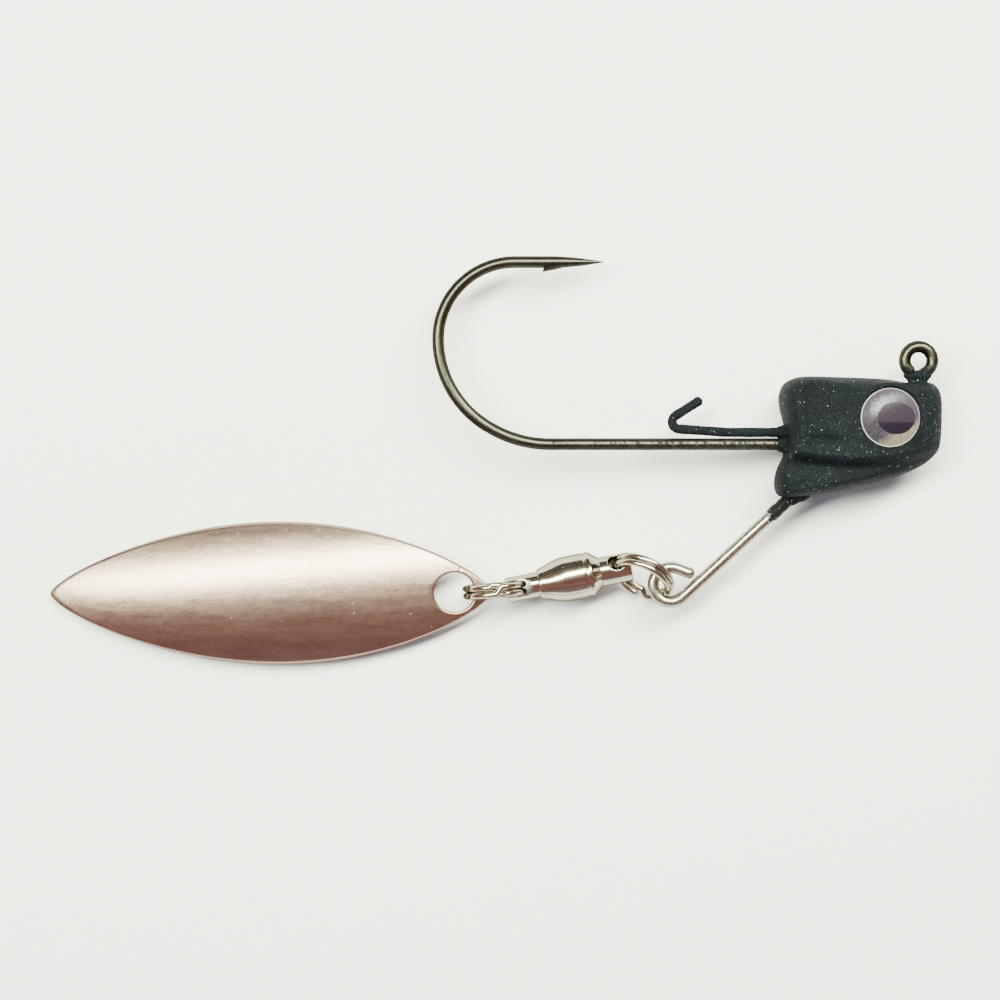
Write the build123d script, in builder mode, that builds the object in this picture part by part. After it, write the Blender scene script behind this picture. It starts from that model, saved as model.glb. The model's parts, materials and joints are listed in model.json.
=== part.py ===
from build123d import *
import math
import os

# Underspin jig lure, lying on its side as it rests on a table.
# Millimetres. The origin is the middle of the hook's line-tie eye.
# +X runs to the nose, +Y from the belly to the back, +Z up from the table.
# The plane Z = 0 is the hook's plane and the lead head's plane of symmetry.

os.makedirs("parts", exist_ok=True)

# ---- driving dimensions: hook -------------------------------------------------
HOOK_WIRE = 1.0
EYE_RING_RADIUS = 1.15          # to the wire's middle
EYE_RING_START = 228            # degrees, where the cut end of the eye lies
EYE_RING_SWEEP = 288
EYE_NECK_RADIUS = 0.9
EYE_NECK_TURN = 60
EYE_LEG_LENGTH = 3.6
LEG_BEND_RADIUS = 1.6
SHANK_LENGTH = 29.2
HOOK_BEND = ((10.0, 35), (8.5, 55), (6.4, 90))   # radius and turn of each arc
SPEAR_LENGTH = 2.7              # from the bend to the barb
POINT_LENGTH = 4.7
POINT_TIP = 0.03
POINT_BELLY = 0.36              # radius half way along the point
BARB_HEIGHT = 0.32
BARB_LENGTH = 0.7
BARB_ROOT = 0.4                 # from the wire's middle to the barb's buried corners
BARB_HALF_WIDTH = 0.2

# ---- driving dimensions: lead head --------------------------------------------
# one row a station along the head: X, top Y, bottom Y, half width, corner radius
SKULL = (
    (-11.7, -2.4, -8.6, 2.3, 1.7),
    (-10.4, -1.4, -9.3, 3.85, 2.2),
    (-6.5, -1.4, -9.1, 3.65, 2.2),
    (-2.0, -1.6, -8.7, 3.4, 2.2),
    (0.8, -2.1, -7.8, 2.4, 1.9),
    (1.9, -3.0, -6.6, 1.2, 1.0),
)
CHIN = (
    (-12.0, -8.2, -10.9, 1.4, 1.0),
    (-10.6, -7.2, -11.5, 2.7, 1.7),
    (-5.5, -6.3, -10.7, 2.8, 1.7),
    (-1.5, -5.8, -9.5, 2.1, 1.4),
    (1.1, -5.5, -7.9, 1.0, 0.8),
)
NOTCH_DEPTH = 0.9               # the groove in the rear face where the shank leaves
NOTCH_HALF_HEIGHT = 2.6
HEAD_HALF_WIDTH = 4.0           # the head's widest, and the height it rests at

# ---- driving dimensions: eyes --------------------------------------------------
EYE_CENTER = Vector(-2.89, -4.87, 0)
EYE_DIAMETER = 5.0
EYE_FOIL_THICKNESS = 0.10
EYE_GLUE_THICKNESS = 0.08
EYE_GLUE_DIAMETER = 4.6
EYE_DOME_EDGE = 0.25
EYE_DOME_HEIGHT = 0.70
EYE_SOCKET_CLEARANCE = 0.04
EYE_SOCKET_WALL = 0.28
EYE_SOCKET_DEPTH = 0.30

# ---- driving dimensions: bait keeper wire --------------------------------------
KEEPER_WIRE = 0.8
KEEPER_GAP = 0.08               # between the keeper and the shank
KEEPER_INSIDE = 2.4             # held in the casting
KEEPER_ANCHOR_TURN = 55
KEEPER_ANCHOR_RADIUS = 0.9
KEEPER_STRAIGHT = 4.1
KEEPER_RISE = 4
KEEPER_RISE_RADIUS = 4.0
KEEPER_SLOPE_LENGTH = 3.9
KEEPER_HOOK_RADIUS = 0.6
KEEPER_HOOK_TURN = 143.6
KEEPER_TIP_LENGTH = 2.6

# ---- driving dimensions: spinner arm -------------------------------------------
ARM_WIRE = 0.95
ARM_ANGLE = 42.6                # below the head, measured from -X
LOOP_CENTER = Vector(-20.68, -18.68, 0)
LOOP_RADIUS = 1.44              # to the wire's middle
ARM_LENGTH = 13.4
ARM_ANCHOR_RADIUS = 1.5
ARM_ANCHOR_LENGTH = 3.2
TAIL_TURN = 20                  # degrees past the top of the loop
TAIL_LENGTH = 1.6

# ---- driving dimensions: split rings -------------------------------------------
RING_WIRE = 0.56
RING_OUTER = 5.38
RING_COIL_GAP = 0.04
RING_STEP_TURN = 30             # where the wire steps from one coil to the next
RING_END_GAP = 4                # degrees between a cut end and the step
FRONT_STEP_AT = 285
REAR_STEP_AT = 255

# ---- driving dimensions: ball-bearing swivel -----------------------------------
EYE_SHAFT = 2.1                 # the turning spindle's diameter
PLUG_DIAMETER = 2.44
CROSS_HOLE = 1.46
HOLE_PLAY = 0.12                # the ring's wire bears off the cross hole's middle
PLUG_END = 1.13                 # from the plug's cross hole to its end
SPINDLE_END = 1.32
HOLE_SPACING = 8.17             # between the two cross holes
BARREL_END = 1.40               # from the plug's cross hole to the barrel
BARREL_LENGTH = 5.35
BARREL_DIAMETER = 3.78
BARREL_NOSE = 2.56
BARREL_SHOULDER = 0.85
BARREL_TAPER = 2.1
BARREL_NOSE_SWELL = 0.28        # the taper's rise at its middle
BARREL_BORE = 2.76
BARREL_END_WALL = 0.72
BARREL_NECK_WALL = 1.15
PLUG_NECK = 1.8
PLUG_FLANGE = 0.6
RUNNING_CLEARANCE = 0.05
SEAT_CLEARANCE = 0.02
WASHER_THICKNESS = 0.25
BALL_DIAMETER = 0.5
BALL_COUNT = 8
BALL_CLEARANCE = 0.02
SPINDLE_NECK = 1.26
SPINDLE_HEAD = 0.85

# ---- driving dimensions: willow-leaf blade -------------------------------------
BLADE_THICKNESS = 0.5
BLADE_LENGTH = 37.4
BLADE_HALF_WIDTH = 6.0
BLADE_HOLE = 3.34
BLADE_HOLE_INSET = 3.05         # from the hole's middle to the rounded end
BLADE_CROSS_RADIUS = 14.2
BLADE_LONG_RADIUS = 100.0
BLADE_LEAF = ((0.235, 0.74), (0.52, 1.0), (0.84, 0.66))   # share of length from the tip, share of half width
BLADE_TIP_FILLET = 0.7
BLADE_END_FILLET = 1.3
BLADE_TIP_CUT = 0.9             # what the fillet takes off the sharp tip
BLADE_END_CUT = 0.42
SHEET_SPARE = 1.2               # the sheet before it is cut out, beside the leaf
HOLE_TO_RING = 1.0              # from the ring's wire to the hole's middle

# ---- how the chain of moving pieces lies ----------------------------------------
RING_TILT = 60.5                # front ring's axis from the vertical
RING_HEADING = -117.9           # the way that axis leans
RING_IN_LOOP = 20.5             # where on the ring the arm's loop is
RING_IN_PLUG = 200.3            # where on the ring the swivel's plug is
LOOP_PLAY = Vector(-0.084, -0.078, 0)
SWIVEL_SWING = -34.0            # of the swivel about its cross hole, from in line
REAR_RING_SWING = -6.0
BLADE_HEADING = 0.3
BLADE_TIP_HEIGHT = 0.36         # the middle of the tip's thickness, over the table
BLADE_HOLE_DROP = 0.5           # the blade at its hole, under the rear ring's middle


def turned(direction, axis, degrees):
    """A direction turned about an axis through the origin."""
    return direction.rotate(Axis((0, 0, 0), axis), degrees)


def wire_profile(path, diameter):
    """A round section on the start of a path."""
    with BuildSketch(Plane(origin=path @ 0, z_dir=path % 0)) as section:
        Circle(diameter / 2)
    return section.sketch


# ---- frames of the moving chain --------------------------------------------------
ring_radius = (RING_OUTER - RING_WIRE) / 2
ring_normal = turned(turned(Vector(0, 0, 1), Vector(0, 1, 0), RING_TILT), Vector(0, 0, 1), RING_HEADING)
ring_level = Vector(0, 0, 1).cross(ring_normal).normalized()
to_loop = turned(ring_level, ring_normal, RING_IN_LOOP)
to_plug = turned(ring_level, ring_normal, RING_IN_PLUG)
front_center = LOOP_CENTER + LOOP_PLAY - to_loop * ring_radius
front_plane = Plane(origin=front_center, x_dir=ring_level, z_dir=ring_normal)

plug_hole = front_center + to_plug * (ring_radius - HOLE_PLAY)
plug_hole_axis = ring_normal.cross(to_plug * -1)
swivel_axis = turned(to_plug * -1, plug_hole_axis, SWIVEL_SWING * -1)
swivel_plane = Plane(origin=plug_hole, x_dir=swivel_axis, z_dir=plug_hole_axis)

spindle_hole = plug_hole - swivel_axis * HOLE_SPACING
upward = Vector(0, 0, 1)
spindle_hole_axis = (upward - swivel_axis * upward.dot(swivel_axis)).normalized()
spindle_plane = Plane(origin=spindle_hole, x_dir=swivel_axis, z_dir=spindle_hole_axis)

to_blade = turned(swivel_axis * -1, spindle_hole_axis, REAR_RING_SWING)
rear_center = spindle_hole + to_blade * (ring_radius - HOLE_PLAY)
rear_plane = Plane(origin=rear_center, x_dir=to_blade, z_dir=spindle_hole_axis.cross(to_blade))
blade_pivot = rear_center + to_blade * ring_radius

table = -HEAD_HALF_WIDTH
blade_flat = turned(Vector(1, 0, 0), upward, BLADE_HEADING)
hole_height = rear_center.Z - BLADE_HOLE_DROP
hole_middle = Vector(blade_pivot.X, blade_pivot.Y, hole_height) - blade_flat * HOLE_TO_RING
tip_to_hole = BLADE_LENGTH - BLADE_HOLE_INSET
blade_slope = math.degrees(math.asin((hole_height - table - BLADE_TIP_HEIGHT) / tip_to_hole))
blade_width_axis = upward.cross(blade_flat)
blade_along = turned(blade_flat, blade_width_axis, -blade_slope)
blade_plane = Plane(origin=hole_middle, x_dir=blade_along, z_dir=blade_along.cross(blade_width_axis))

# ---- jig hook ----------------------------------------------------------------------
eye_start = Vector(EYE_RING_RADIUS, 0, 0).rotate(Axis.Z, EYE_RING_START)
with BuildPart() as jig_hook:
    with BuildLine() as hook_path:
        eye_ring = JernArc(eye_start, eye_start.rotate(Axis.Z, -90), EYE_RING_RADIUS, -EYE_RING_SWEEP)
        eye_neck = JernArc(eye_ring @ 1, eye_ring % 1, EYE_NECK_RADIUS, EYE_NECK_TURN)
        eye_leg = Line(eye_neck @ 1, (eye_neck @ 1) + (eye_neck % 1) * EYE_LEG_LENGTH)
        leg_bend = JernArc(eye_leg @ 1, eye_leg % 1, LEG_BEND_RADIUS, -90)
        shank = Line(leg_bend @ 1, (leg_bend @ 1) + (leg_bend % 1) * SHANK_LENGTH)
        reach = shank
        for bend_radius, bend_turn in HOOK_BEND:
            reach = JernArc(reach @ 1, reach % 1, bend_radius, -bend_turn)
        spear = Line(reach @ 1, (reach @ 1) + (reach % 1) * SPEAR_LENGTH)
    add(wire_profile(eye_ring, HOOK_WIRE))
    sweep(path=hook_path.wires()[0])
    # the ground point, a slender ogive
    barb_root = spear @ 1
    with BuildSketch(Plane(origin=barb_root, x_dir=spear % 1, z_dir=(0, 0, 1))):
        with BuildLine():
            Polyline((0, HOOK_WIRE / 2), (0, 0), (POINT_LENGTH, 0), (POINT_LENGTH, POINT_TIP))
            Spline((0, HOOK_WIRE / 2), (POINT_LENGTH / 2, POINT_BELLY), (POINT_LENGTH, POINT_TIP))
        make_face()
    revolve(axis=Axis(barb_root, spear % 1))
    # the barb, cut up from the side that faces the shank
    with BuildSketch(Plane(origin=barb_root, x_dir=spear % 1, z_dir=(0, 0, 1))):
        with BuildLine():
            Polyline(
                (BARB_LENGTH * 2, -BARB_ROOT),
                (-BARB_LENGTH / 3, -HOOK_WIRE / 2 - BARB_HEIGHT),
                (BARB_LENGTH / 3, -BARB_ROOT),
                close=True,
            )
        make_face()
    extrude(amount=BARB_HALF_WIDTH, both=True)
shank_y = (shank @ 0).Y

# ---- bait keeper wire ----------------------------------------------------------------
rear_x = SKULL[0][0]
keeper_y = shank_y + (HOOK_WIRE + KEEPER_WIRE) / 2 + KEEPER_GAP
keeper_start = Vector(rear_x + KEEPER_INSIDE, keeper_y, 0)
anchor_lean = Vector(-1, 0, 0).rotate(Axis.Z, KEEPER_ANCHOR_TURN)
anchor_arc_start = keeper_start + Vector(
    KEEPER_ANCHOR_RADIUS * math.sin(math.radians(KEEPER_ANCHOR_TURN)),
    KEEPER_ANCHOR_RADIUS * (1 - math.cos(math.radians(KEEPER_ANCHOR_TURN))),
    0,
)
with BuildPart() as bait_keeper_wire:
    with BuildLine() as keeper_path:
        anchor = JernArc(anchor_arc_start, anchor_lean, KEEPER_ANCHOR_RADIUS, -KEEPER_ANCHOR_TURN)
        level = Line(anchor @ 1, (anchor @ 1) - Vector(KEEPER_INSIDE + KEEPER_STRAIGHT, 0, 0))
        lift = JernArc(level @ 1, level % 1, KEEPER_RISE_RADIUS, -KEEPER_RISE)
        slope = Line(lift @ 1, (lift @ 1) + (lift % 1) * KEEPER_SLOPE_LENGTH)
        hooked = JernArc(slope @ 1, slope % 1, KEEPER_HOOK_RADIUS, -KEEPER_HOOK_TURN)
        Line(hooked @ 1, (hooked @ 1) + (hooked % 1) * KEEPER_TIP_LENGTH)
    add(wire_profile(anchor, KEEPER_WIRE))
    sweep(path=keeper_path.wires()[0])

# ---- spinner arm ---------------------------------------------------------------------
tail_out = Vector(1, 0, 0).rotate(Axis.Z, -TAIL_TURN)
tail_root = LOOP_CENTER + Vector(0, LOOP_RADIUS, 0).rotate(Axis.Z, -TAIL_TURN)
with BuildPart() as spinner_arm_wire:
    with BuildLine() as arm_path:
        tail = Line(tail_root + tail_out * TAIL_LENGTH, tail_root)
        loop = JernArc(tail_root, tail_out * -1, LOOP_RADIUS, 180 + TAIL_TURN + ARM_ANGLE)
        arm = Line(loop @ 1, (loop @ 1) + (loop % 1) * ARM_LENGTH)
        arm_bend = JernArc(arm @ 1, arm % 1, ARM_ANCHOR_RADIUS, -ARM_ANGLE)
        Line(arm_bend @ 1, (arm_bend @ 1) + (arm_bend % 1) * ARM_ANCHOR_LENGTH)
    add(wire_profile(tail, ARM_WIRE))
    sweep(path=arm_path.wires()[0])


# ---- lead head -----------------------------------------------------------------------
def head_section(station):
    """One rounded slice across the head."""
    x, top, bottom, half_width, corner = station
    with BuildSketch(Plane(origin=(x, (top + bottom) / 2, 0), x_dir=(0, 1, 0), z_dir=(1, 0, 0))) as slice_:
        RectangleRounded(top - bottom, 2 * half_width, corner)
    return slice_.sketch


socket_floor = HEAD_HALF_WIDTH - EYE_DOME_HEIGHT - EYE_FOIL_THICKNESS - EYE_GLUE_THICKNESS
socket_top = socket_floor + EYE_SOCKET_DEPTH
socket_radius = EYE_DIAMETER / 2 + EYE_SOCKET_CLEARANCE
with BuildPart() as head_casting:
    loft(sections=[head_section(station) for station in SKULL])
    loft(sections=[head_section(station) for station in CHIN])
    with BuildSketch(Plane.XY.offset(-socket_top)):
        with Locations((EYE_CENTER.X, EYE_CENTER.Y)):
            Circle(socket_radius + EYE_SOCKET_WALL)
    extrude(amount=2 * socket_top)
    for side in (1, -1):
        with BuildSketch(Plane.XY.offset(side * socket_floor)):
            with Locations((EYE_CENTER.X, EYE_CENTER.Y)):
                Circle(socket_radius)
        extrude(amount=side * HEAD_HALF_WIDTH, mode=Mode.SUBTRACT)
    with BuildSketch():
        with BuildLine():
            Polyline(
                (rear_x - NOTCH_DEPTH, shank_y + NOTCH_HALF_HEIGHT * 2),
                (rear_x + NOTCH_DEPTH, shank_y),
                (rear_x - NOTCH_DEPTH, shank_y - NOTCH_HALF_HEIGHT * 2),
                close=True,
            )
        make_face()
    extrude(amount=2 * HEAD_HALF_WIDTH, both=True, mode=Mode.SUBTRACT)
    add(jig_hook.part, mode=Mode.SUBTRACT)
    add(bait_keeper_wire.part, mode=Mode.SUBTRACT)
    add(spinner_arm_wire.part, mode=Mode.SUBTRACT)


# ---- eyes ----------------------------------------------------------------------------
def eye_disc(side, start, thickness, diameter):
    """A flat disc in an eye socket, from a height over the hook's plane."""
    with BuildPart() as disc:
        with BuildSketch(Plane.XY.offset(side * start)):
            with Locations((EYE_CENTER.X, EYE_CENTER.Y)):
                Circle(diameter / 2)
        extrude(amount=side * thickness)
    return disc


def eye_dome(side, start):
    """The clear cap over the foil: a short rim and a shallow dome."""
    rim = EYE_DIAMETER / 2
    top = start + EYE_DOME_HEIGHT
    with BuildPart() as dome:
        with BuildSketch(Plane.XZ.offset(-EYE_CENTER.Y)):
            with BuildLine():
                Line((EYE_CENTER.X, side * top), (EYE_CENTER.X, side * start))
                Line((EYE_CENTER.X, side * start), (EYE_CENTER.X + rim, side * start))
                Line((EYE_CENTER.X + rim, side * start), (EYE_CENTER.X + rim, side * (start + EYE_DOME_EDGE)))
                TangentArc(
                    (EYE_CENTER.X, side * top),
                    (EYE_CENTER.X + rim, side * (start + EYE_DOME_EDGE)),
                    tangent=(1, 0),
                )
            make_face()
        revolve(axis=Axis(EYE_CENTER, (0, 0, 1)))
    return dome


eye_pieces = {}
foil_start = socket_floor + EYE_GLUE_THICKNESS
dome_start = foil_start + EYE_FOIL_THICKNESS
for side, side_name in ((1, "right"), (-1, "left")):
    eye_pieces[f"{side_name}_eye_adhesive"] = eye_disc(side, socket_floor, EYE_GLUE_THICKNESS, EYE_GLUE_DIAMETER)
    eye_pieces[f"{side_name}_eye_foil"] = eye_disc(side, foil_start, EYE_FOIL_THICKNESS, EYE_DIAMETER)
    eye_pieces[f"{side_name}_eye_dome"] = eye_dome(side, dome_start)


# ---- split rings ---------------------------------------------------------------------
def split_ring(plane, step_at):
    """Two close turns of round wire; at step_at degrees the wire steps from one turn to the other."""
    half_pitch = (RING_WIRE + RING_COIL_GAP) / 2
    sweep_angle = 360 - RING_STEP_TURN - RING_END_GAP
    ring_axis = Axis(plane.origin, plane.z_dir)

    def section(angle, height):
        radial = turned(plane.x_dir, plane.z_dir, step_at + angle)
        middle = plane.origin + radial * ring_radius + plane.z_dir * height
        with BuildSketch(Plane(origin=middle, x_dir=radial, z_dir=radial.cross(plane.z_dir) * -1)) as round_wire:
            Circle(RING_WIRE / 2)
        return round_wire.sketch

    with BuildPart() as ring:
        add(section(RING_STEP_TURN + RING_END_GAP, -half_pitch))
        revolve(axis=ring_axis, revolution_arc=sweep_angle)
        add(section(RING_STEP_TURN, half_pitch))
        revolve(axis=ring_axis, revolution_arc=sweep_angle)
        loft(sections=[section(0, -half_pitch), section(RING_STEP_TURN, half_pitch)])
    return ring


front_split_ring = split_ring(front_plane, FRONT_STEP_AT)
rear_split_ring = split_ring(rear_plane, REAR_STEP_AT)

# ---- swivel --------------------------------------------------------------------------
swivel_line = Axis(plug_hole, swivel_axis)
barrel_right = -BARREL_END
barrel_left = barrel_right - BARREL_LENGTH
cavity_right = barrel_right - BARREL_END_WALL
cavity_left = barrel_left + BARREL_NECK_WALL
neck_bore = EYE_SHAFT / 2 + RUNNING_CLEARANCE
profile_plane = Plane(origin=plug_hole, x_dir=swivel_axis, z_dir=swivel_plane.y_dir * -1)


def turned_part(outline):
    """A solid turned about the swivel's line from (distance, radius) corners."""
    with BuildPart() as solid:
        with BuildSketch(profile_plane):
            with BuildLine():
                Polyline(*outline, close=True)
            make_face()
        revolve(axis=swivel_line)
    return solid


def cross_drill(solid, plane):
    """Drills the hole that a split ring passes through."""
    with BuildPart() as drilled:
        add(solid.part)
        with BuildSketch(plane):
            Circle(CROSS_HOLE / 2)
        extrude(amount=PLUG_DIAMETER, both=True, mode=Mode.SUBTRACT)
    return drilled


with BuildPart() as swivel_barrel:
    with BuildSketch(profile_plane):
        with BuildLine():
            Polyline(
                (barrel_left + BARREL_TAPER, BARREL_DIAMETER / 2),
                (barrel_right - BARREL_SHOULDER, BARREL_DIAMETER / 2),
                (barrel_right, PLUG_DIAMETER / 2),
                (barrel_right, PLUG_NECK / 2 + SEAT_CLEARANCE),
                (cavity_right, PLUG_NECK / 2 + SEAT_CLEARANCE),
                (cavity_right, BARREL_BORE / 2),
                (cavity_left, BARREL_BORE / 2),
                (cavity_left, neck_bore),
                (barrel_left, neck_bore),
                (barrel_left, BARREL_NOSE / 2),
            )
            Spline(
                (barrel_left, BARREL_NOSE / 2),
                (barrel_left + BARREL_TAPER / 2, BARREL_NOSE / 2 + BARREL_NOSE_SWELL),
                (barrel_left + BARREL_TAPER, BARREL_DIAMETER / 2),
                tangents=((1, 0.2), (1, 0)),
            )
        make_face()
    revolve(axis=swivel_line)

swivel_plug = cross_drill(
    turned_part(
        (
            (PLUG_END, 0),
            (PLUG_END, PLUG_DIAMETER / 2),
            (barrel_right, PLUG_DIAMETER / 2),
            (barrel_right, PLUG_NECK / 2),
            (cavity_right, PLUG_NECK / 2),
            (cavity_right, BARREL_BORE / 2 - SEAT_CLEARANCE),
            (cavity_right - PLUG_FLANGE, BARREL_BORE / 2 - SEAT_CLEARANCE),
            (cavity_right - PLUG_FLANGE, 0),
        )
    ),
    swivel_plane,
)

race_right = cavity_left + WASHER_THICKNESS
ball_middle = race_right + BALL_CLEARANCE + BALL_DIAMETER / 2
head_left = ball_middle + BALL_DIAMETER / 2 + BALL_CLEARANCE
swivel_spindle = cross_drill(
    turned_part(
        (
            (-HOLE_SPACING - SPINDLE_END, 0),
            (-HOLE_SPACING - SPINDLE_END, EYE_SHAFT / 2),
            (cavity_left - RUNNING_CLEARANCE, EYE_SHAFT / 2),
            (cavity_left - RUNNING_CLEARANCE, SPINDLE_NECK / 2),
            (head_left, SPINDLE_NECK / 2),
            (head_left, BARREL_BORE / 2 - RUNNING_CLEARANCE),
            (head_left + SPINDLE_HEAD, BARREL_BORE / 2 - RUNNING_CLEARANCE),
            (head_left + SPINDLE_HEAD, 0),
        )
    ),
    spindle_plane,
)

swivel_race_washer = turned_part(
    (
        (cavity_left, SPINDLE_NECK / 2 + RUNNING_CLEARANCE),
        (race_right, SPINDLE_NECK / 2 + RUNNING_CLEARANCE),
        (race_right, BARREL_BORE / 2 - SEAT_CLEARANCE),
        (cavity_left, BARREL_BORE / 2 - SEAT_CLEARANCE),
    )
)

ball_circle = SPINDLE_NECK / 2 + RUNNING_CLEARANCE + BALL_DIAMETER / 2
balls = {}
for number in range(BALL_COUNT):
    around = turned(swivel_plane.y_dir, swivel_axis, 360 * number / BALL_COUNT)
    with BuildPart() as ball:
        with Locations(plug_hole + swivel_axis * ball_middle + around * ball_circle):
            Sphere(BALL_DIAMETER / 2)
    balls[f"swivel_ball_{number + 1}"] = ball

# ---- blade ---------------------------------------------------------------------------
tip_x = -tip_to_hole
bulge = tip_to_hole ** 2 / (8 * BLADE_LONG_RADIUS)
middle_x = tip_x / 2
bend_center = blade_plane.from_local_coords((middle_x, 0, bulge - BLADE_LONG_RADIUS))
bend_axis = Axis(bend_center, blade_plane.y_dir)
sheet_turn = math.degrees(SHEET_SPARE * BLADE_LENGTH / BLADE_LONG_RADIUS)
sheet_drop = BLADE_CROSS_RADIUS - math.sqrt(BLADE_CROSS_RADIUS ** 2 - (SHEET_SPARE * BLADE_HALF_WIDTH) ** 2)
sheet_radial = turned(blade_plane.z_dir, blade_plane.y_dir, -sheet_turn / 2)
sheet_start = bend_center + sheet_radial * BLADE_LONG_RADIUS
sheet_heading = blade_plane.y_dir.cross(sheet_radial)
with BuildPart() as blade:
    # the sheet: an arc across the blade, turned about a far axis under it
    with BuildSketch(Plane(origin=sheet_start, x_dir=blade_plane.y_dir, z_dir=sheet_heading)):
        with Locations((0, -BLADE_CROSS_RADIUS)):
            Circle(BLADE_CROSS_RADIUS + BLADE_THICKNESS / 2)
            Circle(BLADE_CROSS_RADIUS - BLADE_THICKNESS / 2, mode=Mode.SUBTRACT)
        Rectangle(2 * SHEET_SPARE * BLADE_HALF_WIDTH, 2 * (sheet_drop + BLADE_THICKNESS), mode=Mode.INTERSECT)
    revolve(axis=bend_axis, revolution_arc=sheet_turn)
    # the leaf's outline, from the tip to the rounded end
    with BuildSketch(blade_plane.offset(-BLADE_HALF_WIDTH)) as leaf:
        with BuildLine():
            Spline(
                (tip_x - BLADE_TIP_CUT, 0),
                *[(tip_x + along * BLADE_LENGTH, across * BLADE_HALF_WIDTH) for along, across in BLADE_LEAF],
                (BLADE_HOLE_INSET + BLADE_END_CUT, 0),
            )
            mirror(about=Plane.XZ)
        make_face()
        rounded_end = leaf.vertices().sort_by(SortBy.DISTANCE)[0]
        fillet(rounded_end, BLADE_END_FILLET)
        tip = leaf.vertices().sort_by(SortBy.DISTANCE)[-1]
        fillet(tip, BLADE_TIP_FILLET)
        Circle(BLADE_HOLE / 2, mode=Mode.SUBTRACT)
    extrude(amount=2 * BLADE_HALF_WIDTH, mode=Mode.INTERSECT)

# ---- labels and files ----------------------------------------------------------------
nodes = {
    "head_casting": head_casting,
    "jig_hook": jig_hook,
    "bait_keeper_wire": bait_keeper_wire,
    "spinner_arm_wire": spinner_arm_wire,
    "front_split_ring": front_split_ring,
    "swivel_plug": swivel_plug,
    "swivel_barrel": swivel_barrel,
    "swivel_race_washer": swivel_race_washer,
    "swivel_spindle": swivel_spindle,
    "rear_split_ring": rear_split_ring,
    "blade": blade,
    **eye_pieces,
    **balls,
}
for name, piece in nodes.items():
    piece.part.label = name
    export_step(piece.part, f"parts/{name}.step")
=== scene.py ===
import json

import bpy
import numpy as np
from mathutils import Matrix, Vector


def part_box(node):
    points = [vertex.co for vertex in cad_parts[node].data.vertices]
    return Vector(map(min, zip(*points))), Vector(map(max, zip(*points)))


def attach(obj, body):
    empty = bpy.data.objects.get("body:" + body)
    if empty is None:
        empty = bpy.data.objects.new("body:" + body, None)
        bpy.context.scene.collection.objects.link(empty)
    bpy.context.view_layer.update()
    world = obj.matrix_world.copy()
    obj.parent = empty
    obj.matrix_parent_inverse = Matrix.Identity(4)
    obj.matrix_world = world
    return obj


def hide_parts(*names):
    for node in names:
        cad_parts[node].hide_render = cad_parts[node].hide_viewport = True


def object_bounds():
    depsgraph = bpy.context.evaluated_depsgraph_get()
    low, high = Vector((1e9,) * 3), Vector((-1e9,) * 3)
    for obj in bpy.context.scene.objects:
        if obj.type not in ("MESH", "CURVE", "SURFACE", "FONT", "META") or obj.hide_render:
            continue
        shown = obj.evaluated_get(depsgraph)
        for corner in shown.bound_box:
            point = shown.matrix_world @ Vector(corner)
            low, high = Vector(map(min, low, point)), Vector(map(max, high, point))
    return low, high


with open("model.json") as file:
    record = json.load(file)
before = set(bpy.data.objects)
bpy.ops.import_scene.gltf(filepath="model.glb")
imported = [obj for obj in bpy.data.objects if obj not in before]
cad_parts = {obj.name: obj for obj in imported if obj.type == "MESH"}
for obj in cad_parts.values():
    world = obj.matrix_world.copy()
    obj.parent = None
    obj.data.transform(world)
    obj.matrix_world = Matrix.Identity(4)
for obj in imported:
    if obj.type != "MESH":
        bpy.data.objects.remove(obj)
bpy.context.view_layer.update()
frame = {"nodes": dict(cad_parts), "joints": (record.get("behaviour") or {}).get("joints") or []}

bl_info = {
    "name": "Underspin jig lure",
    "version": (1, 0, 0),
    "blender": (4, 5, 0),
    "location": "3D View > Sidebar > Lure",
    "description": "Builds an underspin jig lure with a ball-bearing swivel and a willow-leaf blade",
    "category": "Add Mesh",
}

MM = 0.001


# ---- sizes and colours that a user would change --------------------------------------

def length(name, text, default):
    """A property that holds a length in metres."""
    return bpy.props.FloatProperty(
        name=name, description=text, default=default, min=0, precision=5, unit="LENGTH",
    )


def colour(name, text, default):
    """A property that holds a colour."""
    return bpy.props.FloatVectorProperty(
        name=name, description=text, default=default, size=3, min=0, max=1, subtype="COLOR",
    )


class LureSizes(bpy.types.PropertyGroup):
    """Wire and plate sizes."""

    hook_wire: length("Hook wire", "Thickness of the hook's wire", 0.00100)
    keeper_wire: length("Keeper wire", "Thickness of the bait keeper's wire", 0.00080)
    arm_wire: length("Arm wire", "Thickness of the spinner arm's wire", 0.00095)
    paint_coat: length("Paint coat", "How far the paint stands off a painted wire", 0.00009)
    ring_wire: length("Ring wire", "Thickness of the split rings' wire", 0.00056)
    ring_outer: length("Ring size", "Outer diameter of a split ring", 0.00538)
    blade_plate: length("Blade plate", "Thickness of the blade", 0.00050)
    eye_size: length("Eye size", "Diameter of an eye", 0.00500)


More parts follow.
